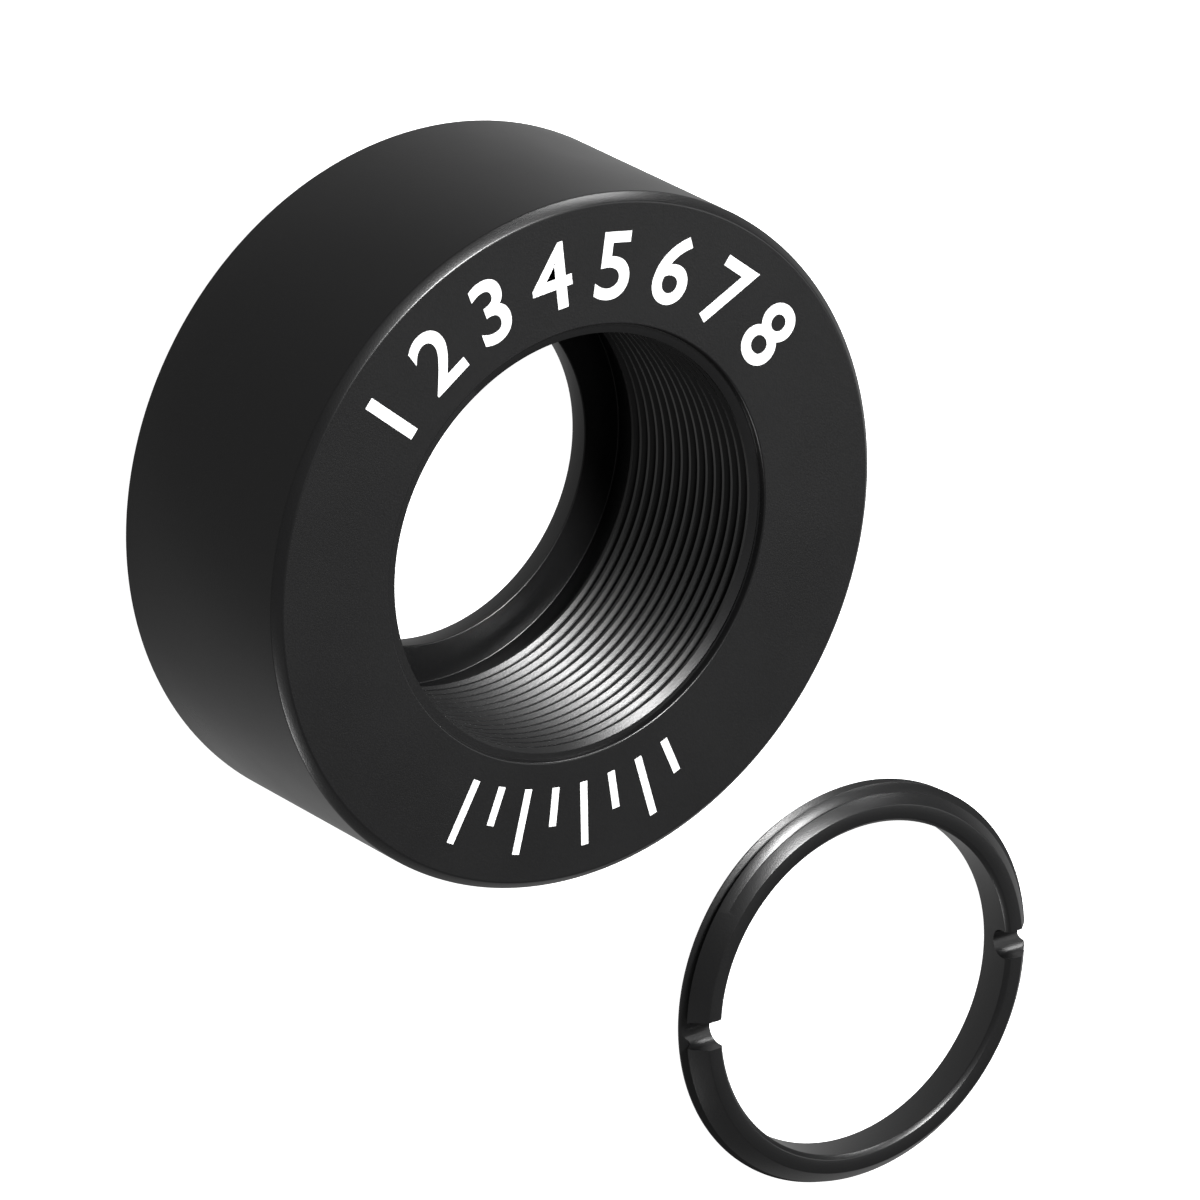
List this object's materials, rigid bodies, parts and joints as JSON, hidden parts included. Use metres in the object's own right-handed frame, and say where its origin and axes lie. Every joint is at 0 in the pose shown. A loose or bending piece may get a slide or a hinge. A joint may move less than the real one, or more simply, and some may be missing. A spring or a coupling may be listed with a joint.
{
  "type": "lens mount adapter",
  "caption": "Short round adapter that holds a small lens: smooth outside, fine internal thread down to a lip, with a slotted threaded retaining ring lying beside it.",
  "frame": {"origin": "centre of the adapter's back face, which stands on the floor plane z = 0", "axes": "+Z along the adapter's optical axis, out of its threaded mouth; +X across the marked front face, to the right of someone who reads the marks; +Y towards the marks' top; the retaining ring lies flat on the floor towards +X and -Y"},
  "size_m": [0.0388, 0.0452, 0.0097],
  "materials": {
    "black_anodised": "satin black anodised"
  },
  "bodies": {
    "root": {"adapter_body": "black_anodised", "retaining_ring": "black_anodised"}
  },
  "joints": []
}
